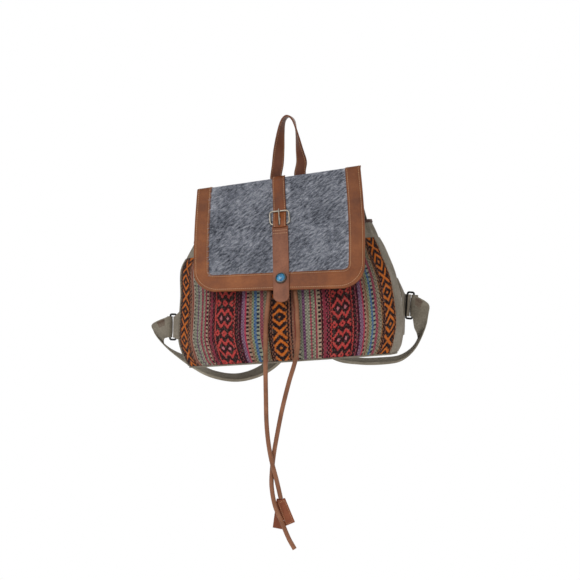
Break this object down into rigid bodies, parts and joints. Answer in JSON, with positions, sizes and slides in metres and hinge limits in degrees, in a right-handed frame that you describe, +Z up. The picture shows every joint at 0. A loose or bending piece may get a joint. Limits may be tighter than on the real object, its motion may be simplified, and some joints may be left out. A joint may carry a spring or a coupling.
{
  "type": "backpack",
  "caption": "Small flap backpack with a hanging handle, drawstring mouth, buckled flap strap, free lace ends and two shoulder straps.",
  "frame": {"origin": "the point where the handle's inner top rests on what it hangs from", "axes": "+Z up, -Y out of the bag's front, +X to the viewer's right along the bag's width"},
  "size_m": [0.4528, 0.2076, 0.657],
  "materials": {
    "weave": "striped handwoven cotton",
    "canvas": "khaki cotton canvas",
    "canvas_dark": "dark lining cloth",
    "leather": "waxed brown leather",
    "leather_dark": "dark brown leather",
    "hide": "grey hair-on hide",
    "silver": "worn nickel",
    "black_metal": "black enamel wire",
    "stone": "polished turquoise"
  },
  "bodies": {
    "bag": {"front_panel": "weave", "side_gusset_left": "canvas", "side_gusset_right": "canvas", "back_panel": "canvas", "base_panel": "canvas", "drawstring_casing": "canvas", "mouth_binding": "leather_dark", "eyelet_left": "black_metal", "eyelet_right": "black_metal", "lining": "canvas_dark", "drawstring_in_casing": "leather", "drawstring_left": "leather", "drawstring_right": "leather", "lace_tab": "leather_dark", "flap_root": "leather", "snap_stud": "silver", "handle_strap": "leather_dark", "yoke": "leather", "wing_left": "canvas", "wing_right": "canvas", "shoulder_strap_left": "canvas", "shoulder_strap_right": "canvas"},
    "flap": {"flap_lining": "canvas_dark", "flap_hide": "hide", "flap_border": "leather", "strap_upper": "leather", "strap_lower": "leather", "buckle_frame": "silver", "buckle_prong": "silver", "concho_rim": "silver", "concho_stone": "stone", "snap_socket": "silver"},
    "ring_left": {"ring_left": "black_metal"},
    "ring_right": {"ring_right": "black_metal"}
  },
  "joints": [
    {"name": "flap_hinge", "type": "hinge", "parent": "bag", "child": "flap", "pos_m": [-0.01269, -0.006, -0.10264], "axis": [-0.9929, 0, -0.1188], "range_deg": [0, 110]},
    {"name": "ring_left_swing", "type": "hinge", "parent": "bag", "child": "ring_left", "pos_m": [-0.19995, 0.045, -0.32885], "axis": [0.0231, 0, 0.9997], "range_deg": [-3, 3]},
    {"name": "ring_right_swing", "type": "hinge", "parent": "bag", "child": "ring_right", "pos_m": [0.17655, 0.058, -0.29255], "axis": [0.0782, 0, 0.9969], "range_deg": [-3, 3]}
  ]
}
